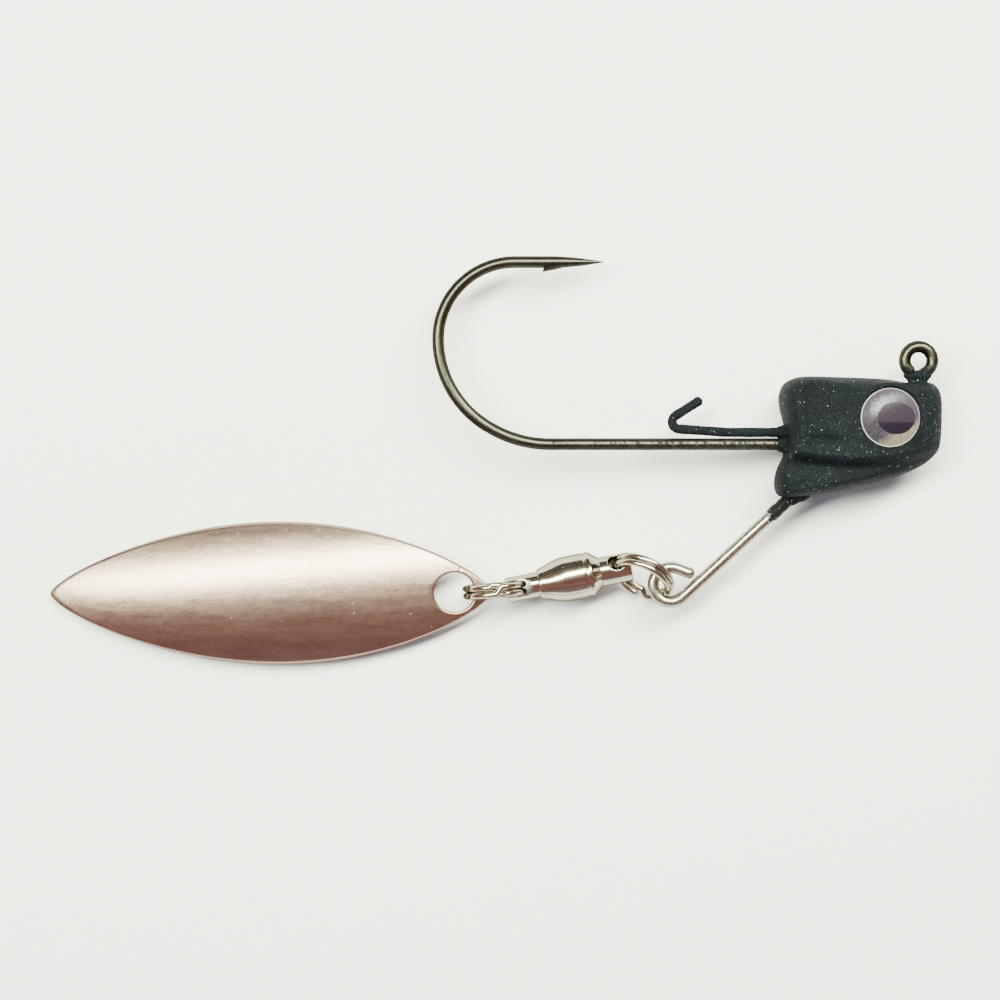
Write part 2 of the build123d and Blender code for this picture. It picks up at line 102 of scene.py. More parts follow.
class LureColours(bpy.types.PropertyGroup):
    """Colours of the finishes."""

    paint: colour("Paint", "The head's dark paint", (0.0066, 0.0070, 0.0086))
    silver_flake: colour("Silver flake", "The light flakes in the paint", (0.34, 0.38, 0.40))
    blue_flake: colour("Blue flake", "The blue flakes in the paint", (0.05, 0.09, 0.17))
    black_nickel: colour("Black nickel", "The hook's plating", (0.040, 0.038, 0.032))
    stainless: colour("Stainless", "The arm's bare wire", (0.40, 0.38, 0.34))
    nickel: colour("Nickel", "The plating of the rings and the swivel", (0.50, 0.455, 0.385))
    blade: colour("Blade", "The blade's warm plate", (0.330, 0.232, 0.212))
    iris: colour("Iris", "The eye's silver lilac foil", (0.052, 0.038, 0.064))
    pupil: colour("Pupil", "The eye's dark middle", (0.010, 0.0055, 0.014))
    floor: colour("Floor", "The table under the lure", (0.93, 0.865, 1.0))


# ---- shader wiring -------------------------------------------------------------------

class Term:
    """A shader value. An operator between terms, or a term and a number, adds one Math node."""

    def __init__(self, wiring, socket):
        self.wiring = wiring
        self.socket = socket

    def math(self, operation, first, second=0.0):
        return self.wiring.add("ShaderNodeMath", {"operation": operation}, {0: first, 1: second})

    def __add__(self, other):
        return self.math("ADD", self, other)

    __radd__ = __add__

    def __sub__(self, other):
        return self.math("SUBTRACT", self, other)

    def __rsub__(self, other):
        return self.math("SUBTRACT", other, self)

    def __mul__(self, other):
        return self.math("MULTIPLY", self, other)

    __rmul__ = __mul__

    def __truediv__(self, other):
        return self.math("DIVIDE", self, other)

    def __pow__(self, other):
        return self.math("POWER", self, other)


class Wiring:
    """A node tree being wired up for one finish."""

    def __init__(self, tree):
        self.tree = tree
        tree.nodes.clear()

    def add(self, kind, settings=None, inputs=None, output=0):
        """Adds a node, sets its settings and then its sockets, and returns one of its outputs."""
        node = self.tree.nodes.new(kind)
        for name, value in (settings or {}).items():
            if name == "stops":
                for _ in range(len(value) - 2):
                    node.color_ramp.elements.new(0.5)
                for element, (place, shade) in zip(node.color_ramp.elements, value):
                    element.position = place
                    element.color = (*shade, 1)
            else:
                setattr(node, name, value)
        for name, value in (inputs or {}).items():
            self.feed(node.inputs[name], value)
        return Term(self, node.outputs[output]) if node.outputs else None

    def feed(self, socket, value):
        """Gives a socket a link or a constant."""
        if isinstance(value, Term):
            self.tree.links.new(value.socket, socket)
        elif socket.type == "RGBA" and len(value) == 3:
            socket.default_value = (*value, 1)
        else:
            socket.default_value = value

    def place(self, scale=(1, 1, 1), centre=(0, 0, 0)):
        """Position on the piece, in metres, less a centre and times a scale."""
        here = self.add("ShaderNodeTexCoord", output="Object")
        moved = self.add("ShaderNodeVectorMath", {"operation": "SUBTRACT"}, {0: here, 1: centre})
        return self.add("ShaderNodeVectorMath", {"operation": "MULTIPLY"}, {0: moved, 1: scale})

    def parts(self, vector):
        """The three parts of a vector, as terms."""
        split = self.add("ShaderNodeSeparateXYZ", inputs={0: vector}).socket.node
        return [Term(self, socket) for socket in split.outputs]

    def noise(self, scale, detail=3.0, where=None):
        """Cloudy noise from 0 to 1 with features about 1 / scale metres across."""
        sockets = {"Vector": where or self.place(), "Scale": scale, "Detail": detail, "Roughness": 0.55}
        return self.add("ShaderNodeTexNoise", inputs=sockets)

    def step(self, value, low, high):
        """0 below low, 1 above high, and a smooth rise between; low may be over high."""
        sockets = {"Value": value, "From Min": low, "From Max": high}
        return self.add("ShaderNodeMapRange", {"interpolation_type": "SMOOTHSTEP"}, sockets)

    def mix(self, factor, first, second):
        """First colour where factor is 0, second where it is 1."""
        return self.add("ShaderNodeMix", {"data_type": "RGBA"}, {0: factor, 6: first, 7: second}, output=2)

    def shade(self, colour_, factor):
        """A colour made lighter or darker by a factor."""
        grey = self.add("ShaderNodeCombineColor", inputs={0: factor, 1: factor, 2: factor})
        settings = {"data_type": "RGBA", "blend_type": "MULTIPLY"}
        return self.add("ShaderNodeMix", settings, {0: 1.0, 6: colour_, 7: grey}, output=2)

    def along(self):
        """Distance along the piece's wire, in millimetres."""
        return self.add("ShaderNodeAttribute", {"attribute_name": "along"}, output="Fac")

    def bump(self, height, depth):
        """A surface normal from a height of 0 to 1 and its depth in metres."""
        return self.add("ShaderNodeBump", inputs={"Height": height, "Distance": depth, "Strength": 1.0})


def finish(name, constants=None):
    """A new material with a Principled shader; returns the material, its wiring and the shader's sockets."""
    material = bpy.data.materials.new(name)
    material.use_nodes = True
    wiring = Wiring(material.node_tree)
    shader = wiring.add("ShaderNodeBsdfPrincipled", inputs=constants or {})
    wiring.add("ShaderNodeOutputMaterial", inputs={"Surface": shader})
    return material, wiring, shader.socket.node.inputs


# ---- shapes --------------------------------------------------------------------------

def unit(vectors):
    """Vectors at length one."""
    vectors = np.asarray(vectors, float)
    return vectors / np.linalg.norm(vectors, axis=-1, keepdims=True)


def turned(direction, axis, degrees):
    """A direction turned about an axis: Rodrigues' formula."""
    direction, axis, angle = np.asarray(direction, float), unit(axis), np.radians(degrees)
    along_axis = axis * (direction @ axis)
    return along_axis + (direction - along_axis) * np.cos(angle) + np.cross(axis, direction) * np.sin(angle)


def surface(name, grids, looped=False, values=None):
    """One closed mesh from grids of points in millimetres, each (rows, columns, 3).

    Columns join up round the piece. Rows join up too when looped; otherwise each end row is closed by a
    point at its middle. Faces are turned outwards by the sign of the volume that they enclose.
    """
    points, faces, start = [], [], 0
    for grid in grids:
        rows, columns = grid.shape[:2]
        index = start + np.arange(rows * columns).reshape(rows, columns)
        beside = np.roll(index, -1, axis=1)
        quads = np.stack((index, beside, np.roll(beside, -1, axis=0), np.roll(index, -1, axis=0)), axis=-1)
        quads = quads if looped else quads[:-1]
        corners = grid.reshape(-1, 3)
        four = quads.reshape(-1, 4) - start
        middle = corners.mean(axis=0)
        a, b, c, d = (corners[four[:, n]] - middle for n in range(4))
        volume = np.einsum("ij,ij->", a, np.cross(b, c)) + np.einsum("ij,ij->", a, np.cross(c, d))
        quads = quads.reshape(-1, 4)
        caps = np.empty((0, 3), int)
        if not looped:
            first, last = start + rows * columns, start + rows * columns + 1
            lower = np.stack((beside[0], index[0], np.full(columns, first)), axis=-1)
            upper = np.stack((index[-1], beside[-1], np.full(columns, last)), axis=-1)
            caps = np.concatenate((lower, upper))
            corners = np.concatenate((corners, [grid[0].mean(axis=0), grid[-1].mean(axis=0)]))
        if volume < 0:
            quads, caps = quads[:, ::-1], caps[:, ::-1]
        points.append(corners)
        faces += quads.tolist() + caps.tolist()
        start += len(corners)
    mesh = bpy.data.meshes.new(name)
    mesh.from_pydata((np.concatenate(points) * MM).tolist(), [], faces)
    if values is not None:
        spread = []
        for value, grid in zip(values, grids):
            spread += [np.repeat(value, grid.shape[1]), [] if looped else value[[0, -1]]]
        mesh.attributes.new("along", "FLOAT", "POINT").data.foreach_set("value", np.concatenate(spread))
    mesh.shade_smooth()
    mesh.validate()
    piece = bpy.data.objects.new(name, mesh)
    bpy.context.scene.collection.objects.link(piece)
    return piece


def settle(piece, material, body, slot, *nodes):
    """Gives a finished piece its material and its body, and hides the nodes that it stands for. The slot is
    not used.
    """
    piece.data.materials.append(material)
    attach(piece, body)
    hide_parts(*nodes)
    return piece


def paint_node(node, material):
    """Gives a carried-over node a better material."""
    slots = frame["nodes"][node].data.materials
    slots.clear()
    slots.append(material)


def bent_path(start, heading, runs, distances):
    """Points along a flat wire that is bent in the hook's plane.

    runs holds (length, turn) pairs. The heading is a straight-line function of the distance in each run,
    so a run with no turn is straight and any other is an arc; the place is the running sum of the heading.
    """
    lengths, turns = np.array(runs, float).T
    knots = np.concatenate(([0], np.cumsum(lengths)))
    headings = np.radians(heading + np.concatenate(([0], np.cumsum(turns))))
    fine = np.linspace(0, knots[-1], 6000)
    angle = np.interp(fine, knots, headings)
    path = np.zeros((len(distances), 3))
    for axis, slope in enumerate((np.cos(angle), np.sin(angle))):
        steps = (slope[1:] + slope[:-1]) / 2 * fine[1]
        path[:, axis] = np.interp(distances, fine, start[axis] + np.concatenate(([0], np.cumsum(steps))))
    return path


def arc(radius, turn):
    """A (length, turn) run for an arc of a radius."""
    return (radius * np.radians(abs(turn)), turn)


def wire_stations(total, radius, step=0.09):
    """Distances along a wire: even, and closer at both ends where the ends are rounded over."""
    rounding = radius * (1 - np.cos(np.linspace(0.12, np.pi / 2, 8)))
    middle = np.arange(radius + step, total - radius - step / 2, step)
    return np.concatenate((rounding, middle, total - rounding[::-1]))


def rounded(distances, total, radius):
    """A wire's radius at each distance, with ends that close as a ball does: r * sqrt(1 - (1 - d / r)^2)."""
    from_end = np.clip(np.minimum(distances, total - distances) / np.max(radius), 0, 1)
    return radius * np.sqrt(1 - (1 - from_end) ** 2)


def round_wire(path, radius, upward, columns=28):
    """A circle carried along a path: path + r * (cos a * side + sin a * lift), square to the path."""
    heading = unit(np.gradient(path, axis=0))
    side = unit(np.cross(heading, upward))
    lift = np.cross(side, heading)
    angle = np.linspace(0, 2 * np.pi, columns, endpoint=False)[None, :, None]
    ring = np.cos(angle) * side[:, None] + np.sin(angle) * lift[:, None]
    return path[:, None] + np.asarray(radius).reshape(-1, 1, 1) * ring


def lathe(origin, axis, profile, columns=96):
    """A profile of (distance, radius) pairs turned about an axis through the origin point."""
    axis = unit(axis)
    side = unit(np.cross(axis, (0.31, 0.77, 0.55)))
    other = np.cross(axis, side)
    distance, radius = np.array(profile, float).T[:, :, None, None]
    angle = np.linspace(0, 2 * np.pi, columns, endpoint=False)[None, :, None]
    spoke = np.cos(angle) * side + np.sin(angle) * other
    return np.asarray(origin, float) + distance * axis + radius * spoke


def eased(corners, size, steps=5):
    """A profile with every inner corner rounded: a quadratic curve from size before it to size after it."""
    corners = np.array(corners, float)
    back = corners[:-2] - corners[1:-1]
    ahead = corners[2:] - corners[1:-1]
    reach_back = np.minimum(size, np.linalg.norm(back, axis=1) * 0.45)[:, None]
    reach_ahead = np.minimum(size, np.linalg.norm(ahead, axis=1) * 0.45)[:, None]
    before = corners[1:-1] + unit(back) * reach_back
    after = corners[1:-1] + unit(ahead) * reach_ahead
    t = np.linspace(0, 1, steps)[None, :, None]
    curve = (1 - t) ** 2 * before[:, None] + 2 * t * (1 - t) * corners[1:-1, None] + t ** 2 * after[:, None]
    return np.concatenate((corners[:1], curve.reshape(-1, 2), corners[-1:]))


def closed_curve(points, count):
    """A smooth closed line through a few points: Catmull-Rom's cubic between each two."""
    points = np.array(points, float)
    place = np.linspace(0, len(points), count, endpoint=False)
    n = place.astype(int)
    t = (place - n)[:, None]
    p0, p1, p2, p3 = (points[(n + k) % len(points)] for k in (-1, 0, 1, 2))
    square = (2 * p0 - 5 * p1 + 4 * p2 - p3) * t ** 2
    cube = (3 * p1 - p0 - 3 * p2 + p3) * t ** 3
    return 0.5 * (2 * p1 + (p2 - p0) * t + square + cube)


def swell(x, y, middle, reach, power=1.0):
    """A smooth hill of height one: exp(-(distance / reach)^2 ^ power)."""
    return np.exp(-((((x - middle[0]) / reach[0]) ** 2 + ((y - middle[1]) / reach[1]) ** 2) ** power))


def rise(value, low, high):
    """0 below low, 1 above high, smooth between."""
    t = np.clip((value - low) / (high - low), 0, 1)
    return t * t * (3 - 2 * t)


# ---- where things are ----------------------------------------------------------------

JOINTS = {joint["name"]: joint for joint in frame["joints"]}


def joint_place(name):
    """A joint's position in millimetres and its axis."""
    return np.array(JOINTS[name]["pos_m"]) / MM, unit(JOINTS[name]["axis"])


def node_middle(name):
    """The middle of a node's box, in millimetres."""
    low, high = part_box(name)
    return np.array((low + high) / 2) / MM


EYE = node_middle("right_eye_dome")
SHANK_Y = -6.975
ARM_ANGLE = 42.6
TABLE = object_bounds()[0][2]
EDGE_TINT = (0.10, 0.09, 0.075)


# ---- finishes ------------------------------------------------------------------------

def flakes(work, density):
    """Metal flakes in paint: random cells of 0.16 mm, lit where a cloudy density is high.

    Returns the flakes' mask and their hue.
    """
    cells = work.add("ShaderNodeTexVoronoi", {"feature": "F1"}, {"Vector": work.place(), "Scale": 6200.0})
    node = cells.socket.node
    chance, hue, size = work.parts(Term(work, node.outputs["Color"]))
    near = work.step(cells, 0.17 + size * 0.20, 0.09 + size * 0.14)
    lucky = work.step(chance + work.noise(420.0, 2.0) * density, 0.98, 1.10)
    return near * lucky, hue


def paint_look(name):
    """Satin dark paint with silver and blue flake, over a fine pebbled skin."""
    colours = bpy.context.scene.lure_colours
    material, work, shader = finish(name, {"Specular IOR Level": 0.02})
    mask, hue = flakes(work, 0.31)
    cloud = work.noise(420.0, 4.0)
    fine = work.noise(7500.0, 2.0)
    dust = work.step(work.noise(8200.0, 1.0) + cloud * 0.22, 0.70, 0.82)
    flake = work.mix(work.step(hue, 0.45, 0.60), colours.silver_flake, colours.blue_flake)
    dark = work.shade(work.mix(cloud, colours.paint, (0.0085, 0.0112, 0.0170)), 0.35 + fine * 1.0)
    dusted = work.mix(dust * 0.5, dark, (0.032, 0.037, 0.042))
    work.feed(shader["Base Color"], work.mix(mask, dusted, flake))
    work.feed(shader["Metallic"], mask * 0.6)
    work.feed(shader["Roughness"], 0.50 + fine * 0.22 - mask * 0.2)
    pebble = work.noise(2400.0, 4.0) + fine * 0.45 + mask * 0.4
    work.feed(shader["Normal"], work.bump(pebble, 0.000085))
    return material


def plated_look(name, metal, base_rough, grime):
    """Plated metal: drawn scratches, faint stains and small pits."""
    material, work, shader = finish(name, {"Specular Tint": EDGE_TINT})
    stain = work.noise(900.0, 4.0)
    fine = work.noise(3800.0, 2.0)
    pits = work.step(work.noise(5200.0, 1.0), 0.72, 0.80)
    worn = work.shade(metal, 1.0 - grime * stain - pits * 0.35)
    work.feed(shader["Base Color"], worn)
    shader["Metallic"].default_value = 1.0
    work.feed(shader["Roughness"], base_rough + fine * 0.10 + pits * 0.25)
    work.feed(shader["Normal"], work.bump(fine * 0.5 - pits, 0.000004))
    return material


def hook_look():
    """Black nickel, with drawn lines along the wire and paint overspray on the shank by the head."""
    colours = bpy.context.scene.lure_colours
    material, work, shader = finish("black_nickel_finish", {"Specular Tint": EDGE_TINT})
    x, y, _ = work.parts(work.place())
    grain = work.noise(5200.0, 3.0)
    stain = work.noise(700.0, 3.0)
    speck = work.step(work.noise(3600.0, 2.0) + work.step(x, -0.034, -0.016) * 0.16, 0.62, 0.70)
    mist = speck * work.step(y, -0.0045, -0.0060)
    neck = work.step(work.noise(2400.0, 3.0) * 0.0011 + y, 0.00030, -0.00020) * work.step(x, -0.004, -0.002)
    painted = 1.0 - (1.0 - mist * 0.75) * (1.0 - neck)
    metal = work.shade(work.mix(stain, colours.black_nickel, (0.070, 0.066, 0.056)), 0.60 + grain * 0.7)
    work.feed(shader["Base Color"], work.mix(painted, metal, colours.paint))
    work.feed(shader["Metallic"], 1.0 - painted * 0.9)
    work.feed(shader["Roughness"], 0.22 + grain * 0.16 + painted * 0.22)
    work.feed(shader["Normal"], work.bump(grain * 0.5 + painted * 0.5, 0.000012))
    return material


def arm_look():
    """Bare stainless wire that is painted near the head, with a ragged edge where the paint ends."""
    colours = bpy.context.scene.lure_colours
    material, work, shader = finish("arm_wire_finish", {"Specular Tint": EDGE_TINT})
    ragged = work.along() + (work.noise(1500.0, 3.0) - 0.5) * 2.4
    painted = work.step(ragged, 17.3, 17.8)
    mask, _ = flakes(work, 0.30)
    grain = work.noise(4200.0, 2.0)
    metal = work.shade(colours.stainless, 0.70 + grain * 0.45)
    coat = work.mix(mask, colours.paint, colours.silver_flake)
    work.feed(shader["Base Color"], work.mix(painted, metal, coat))
    work.feed(shader["Metallic"], 1.0 - painted * 0.9)
    work.feed(shader["Roughness"], 0.20 + grain * 0.14 + painted * 0.22)
    work.feed(shader["Normal"], work.bump(grain * 0.3 + painted * work.noise(2200.0, 3.0), 0.000030))
    return material


def blade_look():
    """Warm polished plate with rolling grain, orange peel, pits and a small crease over the hole."""
    colours = bpy.context.scene.lure_colours
    centre = tuple(BLADE_HOLE_MIDDLE * MM)
    material, work, shader = finish("blade_finish", {"Specular Tint": (0.35, 0.28, 0.25)})
    along_x, across, _ = work.parts(work.place(centre=centre))
    stretched = work.place(scale=(0.16, 1.0, 1.0))
    rolled = work.noise(1500.0, 3.0, where=stretched)
    peel = work.noise(1700.0, 2.0)
    fine = work.noise(6500.0, 2.0)
    pits = work.step(work.noise(2300.0, 1.0), 0.74, 0.80)
    tint = work.mix(work.noise(120.0, 3.0), colours.blade, (0.285, 0.190, 0.176))
    work.feed(shader["Base Color"], work.shade(tint, 0.84 + rolled * 0.22 + fine * 0.12 - pits * 0.2))
    shader["Metallic"].default_value = 1.0
    work.feed(shader["Roughness"], 0.20 + rolled * 0.10 + peel * 0.06 + pits * 0.2)
    crease = work.step(along_x, 0.00035, 0.00050) * work.step(along_x, 0.00065, 0.00050)
    crease = crease * work.step(across, 0.0016, 0.0018) * work.step(across, 0.0028, 0.0024)
    height = rolled * 0.35 + peel * 0.5 + fine * 0.26 - pits * 0.2 - crease * 1.6
    work.feed(shader["Normal"], work.bump(height, 0.000017))
    return material


def foil_look():
    """Holographic eye foil: a lilac iris with a painted silver highlight on its upper left and painted shade
    on its lower left, a dark oval pupil with a painted reflection that makes its upper part lighter, and a
    pale trimmed edge that is paler on its left and lower side as a painted highlight.
    """
    colours = bpy.context.scene.lure_colours
    material, work, shader = finish("eye_foil_finish", {"Specular IOR Level": 0.04})
    x, y, _ = work.parts(work.place(scale=(1 / MM, 1 / MM, 1 / MM), centre=(EYE[0] * MM, EYE[1] * MM, 0)))
    from_middle = (x * x + y * y) ** 0.5
    px, py = x - 0.44, y + 0.06
    from_pupil = ((px / 1.56) ** 2.0 + (py / 1.30) ** 2.0) ** 0.5
    jitter = work.noise(3000.0, 3.0) - 0.5
    speckle = work.noise(5600.0, 2.0)
    # painted highlight: the upper left of the iris is turned silver, where the light falls on it
    lit = work.step(y * 0.55 - x * 0.45 + jitter * 0.8, 0.30, 1.10)
    lit = lit * work.step(from_pupil + jitter * 0.4, 1.75, 1.10)
    # painted shade: the lower left of the iris is made dark
    shadow = work.step(x * -0.85 - y * 0.45 + jitter * 1.6, 0.75, 1.35)
    warm = work.step(x * 0.5 - y * 0.9, 1.0, 1.8)
    tone = work.mix(lit * 0.8, colours.iris, (0.25, 0.24, 0.28))
    tone = work.mix(shadow * 0.8, tone, (0.030, 0.025, 0.040))
    tone = work.mix(warm * 0.8, tone, (0.19, 0.145, 0.12))
    tone = work.shade(tone, 0.10 + speckle * 1.7)
    # painted reflection: the upper part of the pupil is made lighter
    pupil_painted_reflection = work.step(y + jitter * 0.3, -0.55, -0.25) * 0.8
    pupil_tone = work.mix(pupil_painted_reflection, colours.pupil, (0.028, 0.018, 0.034))
    tone = work.mix(work.step(from_pupil + jitter * 0.10, 1.05, 0.97), tone, pupil_tone)
    # the foil's trimmed edge is pale all round, and paler still on its left and lower side as a painted
    # highlight
    cut_edge_and_highlight = work.step(from_middle, 2.30, 2.37) * (0.35 + work.step(x * -0.7 - y * 0.7, -1.2, 0.8) * 0.65)
    tone = work.mix(cut_edge_and_highlight, tone, (0.40, 0.40, 0.41))
    work.feed(shader["Base Color"], tone)
    work.feed(shader["Metallic"], work.step(from_middle, 2.30, 2.24) * lit * 0.3)
    work.feed(shader["Roughness"], 0.42 + speckle * 0.25)
    work.feed(shader["Normal"], work.bump(speckle, 0.000014))
    return material


def resin_look():
    """Clear resin: see-through, with the gloss of its skin as strong as Fresnel's law makes it."""
    constants = {"Base Color": (0.95, 0.95, 1.0), "Metallic": 1.0, "Roughness": 0.22}
    material, work, shader = finish("eye_resin_finish", constants)
    gloss = work.add("ShaderNodeFresnel", inputs={"IOR": 1.5})
    work.feed(shader["Alpha"], gloss * 0.07)
    return material


def glue_look():
    """Dried clear adhesive, a little cloudy."""
    material, work, shader = finish("eye_glue_finish", {"Roughness": 0.35})
    cloud = work.noise(2200.0, 3.0)
    work.feed(shader["Base Color"], work.mix(cloud, (0.62, 0.62, 0.58), (0.80, 0.80, 0.77)))
    work.feed(shader["Normal"], work.bump(cloud, 0.00001))
    return material


# ---- the lead head -------------------------------------------------------------------

# X, Y and the corner's reach, going round the outline from over the line tie
HEAD_OUTLINE = (
    (0.8, -1.85, 1.7), (1.4, -2.15, 1.6), (1.75, -2.7, 1.6), (1.9, -3.7, 1.7), (1.88, -5.3, 1.8),
    (1.8, -6.6, 1.9), (1.6, -7.5, 1.9), (0.9, -8.3, 1.8), (-0.2, -9.0, 1.6), (-2.2, -9.8, 1.4),
    (-5.2, -10.55, 1.3), (-8.2, -11.15, 1.3),
    (-10.4, -11.4, 1.2), (-11.4, -11.4, 1.1), (-11.9, -10.95, 0.9), (-12.0, -10.1, 0.9), (-11.8, -9.1, 0.9),
    (-11.3, -8.0, 0.9), (-11.05, -7.1, 0.9), (-11.05, -6.1, 0.9), (-11.25, -5.0, 0.9), (-11.5, -4.0, 0.9),
    (-11.6, -3.0, 1.0), (-11.35, -2.15, 1.1), (-10.7, -1.6, 1.3), (-9.5, -1.35, 1.6), (-6.5, -1.4, 1.8),
    (-3.0, -1.55, 1.8), (-1.0, -1.85, 1.7),
)
# profiles of the paint round each wire: distance along the wire, and radius
NECK_PAINT = (
    (-0.6, 0.3), (-0.1, 1.15), (0.35, 0.86), (0.55, 0.78), (0.75, 0.95), (0.95, 1.16), (1.12, 1.16),
    (1.30, 0.80), (1.42, 0.42), (1.50, 0.06),
)
ARM_PAINT = ((-0.6, 0.3), (-0.3, 1.05), (0.6, 1.0), (1.15, 0.72), (1.7, 0.60), (1.75, 0.3))
SHANK_PAINT = ((-0.5, 0.3), (-0.2, 0.9), (0.5, 0.74), (0.9, 0.60), (1.2, 0.53), (1.25, 0.3))
KEEPER_PAINT = ((-0.5, 0.3), (-0.2, 0.8), (0.5, 0.66), (0.9, 0.52), (1.2, 0.45), (1.25, 0.3))
SOCKET_FLOOR = 3.12
SOCKET_RADIUS = 2.54
COLLAR_RADIUS = 2.80
COLLAR_TOP = 3.40
COLLAR_DROP = 0.10


def head_relief(x, y):
    """The head's half thickness over its middle plane, in millimetres.

    A flank of 3.75 that thins to the nose, less a ledge under the jaw line, with hills for the gill
    ridge, the jaw ridge and the chin, a hollow behind the eye, and the low waves of a hand casting.
    """
    jaw = -8.25 + 0.022 * (x + 5.5) ** 2
    flank = 3.76 - 1.45 * rise(x, -3.6, 2.6) - 0.12 * rise(y, -4.5, -1.4)
    ledge = rise(jaw - y, -0.12, 0.75)
    chin_middle = jaw - 2.0 + 0.10 * (x + 8)
    flank = flank - (0.98 - 0.05 * (x + 8)) * ledge
    jaw_ridge = np.exp(-((y - jaw - 0.22) / 0.26) ** 2) * rise(x, -10.6, -9.4) * rise(-x, -0.5, 2.5)
    flank = flank + 0.20 * jaw_ridge
    flank = flank - 0.16 * np.exp(-((jaw - y - 0.95) / 0.42) ** 2)
    flank = flank + 0.16 * np.exp(-((y - chin_middle) / 0.55) ** 2) * (1 - rise(x, -2.5, 0.5))
    flank = flank + 0.16 * np.exp(-((x + 10.15) / 0.42) ** 2) * rise(y, -9.5, -8.0)
    flank = flank - 0.14 * np.exp(-((x + 8.9) / 0.75) ** 2) * rise(y, -8.4, -7.2)
    flank = flank - 0.34 * swell(x, y, (-8.2, -6.95), (1.75, 0.62), 1.4)
    flank = flank - 0.10 * swell(x, y, (-5.6, -3.2), (0.9, 1.5))
    waves = np.sin(1.9 * x + 0.7 * y) * np.sin(1.3 * y - 0.6 * x) + 0.6 * np.sin(3.7 * x - 2.1 * y + 1.0)
    return flank + 0.018 * waves


def head_grid():
    """The head as rings round the eye: from the middle of one eye socket, out over the edge, to the other.

    On a line from the eye to the outline, the height is the relief times sqrt(1 - (1 - inset / corner)^2),
    a quarter ellipse at the edge. The eye socket and its collar are rings of their own at the line's start.
    """
    outline = closed_curve(HEAD_OUTLINE, 380)
    edge, corner = outline[:, :2], outline[:, 2]
    reach = edge - EYE[:2]
    far = np.linalg.norm(reach, axis=1)
    outwards = reach / far[:, None]
    floor_rings = (0.6, 1.8, 2.45, SOCKET_RADIUS - 0.01)
    rim_rings = (SOCKET_RADIUS + 0.02, 2.62, 2.72, COLLAR_RADIUS)
    rim_drop = np.array((0.03, 0.0, 0.01, COLLAR_DROP))
    socket_rings = np.array(floor_rings + rim_rings)
    socket_heights = np.concatenate(((SOCKET_FLOOR,) * len(floor_rings), COLLAR_TOP - rim_drop))
    share = np.sin(np.linspace(0, np.pi / 2, 112)[1:])[:, None]
    body = COLLAR_RADIUS + (far - COLLAR_RADIUS) * share
    radius = np.concatenate((np.repeat(socket_rings[:, None], len(far), axis=1), body))
    x = EYE[0] + radius * outwards[:, 0]
    y = EYE[1] + radius * outwards[:, 1]
    inset = np.clip((far - radius) / corner, 0, 1)
    height = head_relief(x, y) * np.sqrt(1 - (1 - inset) ** 2)
    count = len(socket_rings)
    collar = np.repeat(socket_heights[:, None], len(far), axis=1)
    in_socket = np.arange(count)[:, None] < len(floor_rings)
    height[:count] = np.where(in_socket, collar, np.maximum(collar, height[:count]))
    melt = 1 - rise(radius[count:], COLLAR_RADIUS, COLLAR_RADIUS + 0.35)
    outside = height[count:]
    blended = outside * (1 - melt) + (COLLAR_TOP - COLLAR_DROP) * melt * (inset[count:] > 0)
    height[count:] = np.maximum(outside, blended)
    half = np.stack((x, y, height), axis=-1)
    return np.concatenate((half, half[-2::-1] * (1, 1, -1)))


def collar_grid(foot, axis, profile, lean=0.0):
    """A ring of paint that has crept up a wire: a profile turned about the wire, uneven round it."""
    grid = lathe(foot, axis, profile, 40)
    angle = np.linspace(0, 2 * np.pi, 40, endpoint=False)[None, :, None]
    middle = grid.mean(axis=1, keepdims=True)
    return middle + (grid - middle) * (1 + 0.07 * np.sin(3 * angle + lean) + 0.04 * np.sin(5 * angle - lean))


class LURE_OT_head(bpy.types.Operator):
    """Cast and paint the lead head, with the paint that has crept along its wires"""

    bl_idname = "lure.head"
    bl_label = "Head"

    def execute(self, context):
        paint = paint_look("head_paint_finish")
        head = surface("painted_head", [head_grid()])
        settle(head, paint, "jig_body", "head_paint", "head_casting")
        neck = collar_grid((-0.02, -2.3, 0), (0, 1, 0), eased(NECK_PAINT, 0.2))
        neck[..., 2] *= 1 - 0.46 * rise(neck[..., 1], -2.2, -1.6)
        arm_way = (-np.cos(np.radians(ARM_ANGLE)), -np.sin(np.radians(ARM_ANGLE)), 0)
        arm = collar_grid((-9.7, -10.55, 0), arm_way, eased(ARM_PAINT, 0.2), 1.0)
        shank = collar_grid((-10.6, SHANK_Y, 0), (-1, 0, 0), eased(SHANK_PAINT, 0.15), 2.0)
        keeper = collar_grid((-10.6, SHANK_Y + 0.98, 0), (-1, 0, 0), eased(KEEPER_PAINT, 0.15), 4.0)
        collars = surface("paint_collars", [neck, arm, shank, keeper])
        collars.data.materials.append(paint)
        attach(collars, "jig_body")
        return {"FINISHED"}


# ---- the wires in the head -----------------------------------------------------------

